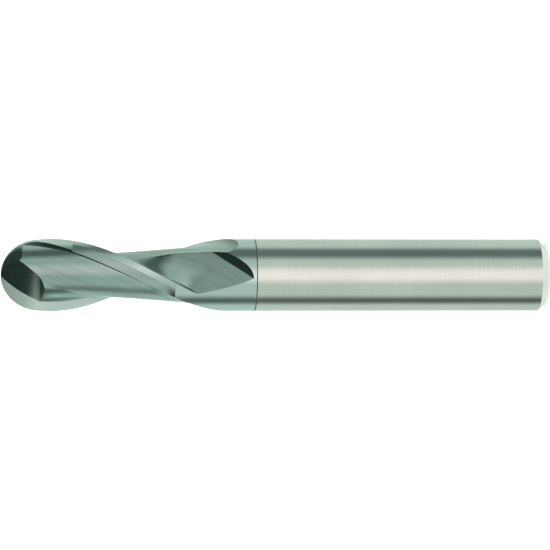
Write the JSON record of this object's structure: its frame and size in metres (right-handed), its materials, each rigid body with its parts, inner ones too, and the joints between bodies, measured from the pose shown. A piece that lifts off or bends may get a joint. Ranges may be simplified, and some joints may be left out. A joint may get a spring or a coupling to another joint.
{
  "type": "ball-nose end mill",
  "caption": "Ball-nose milling cutter with right-hand helical flutes, a carbide head brazed to a plain cylindrical steel shank.",
  "frame": {"origin": "centre of the shank's end face", "axes": "+Z along the tool's axis, from the shank's end to the ball's tip; +X and +Y across the shank"},
  "size_m": [0.01, 0.01, 0.076],
  "materials": {
    "carbide": "blue-grey coated tungsten carbide, finely ground along the flutes",
    "braze_alloy": "dark, oxidised silver brazing alloy",
    "ground_steel": "centreless-ground tool steel with a soft satin sheen"
  },
  "bodies": {
    "root": {"cutting_head": "carbide", "braze": "braze_alloy", "shank": "ground_steel"}
  },
  "joints": []
}
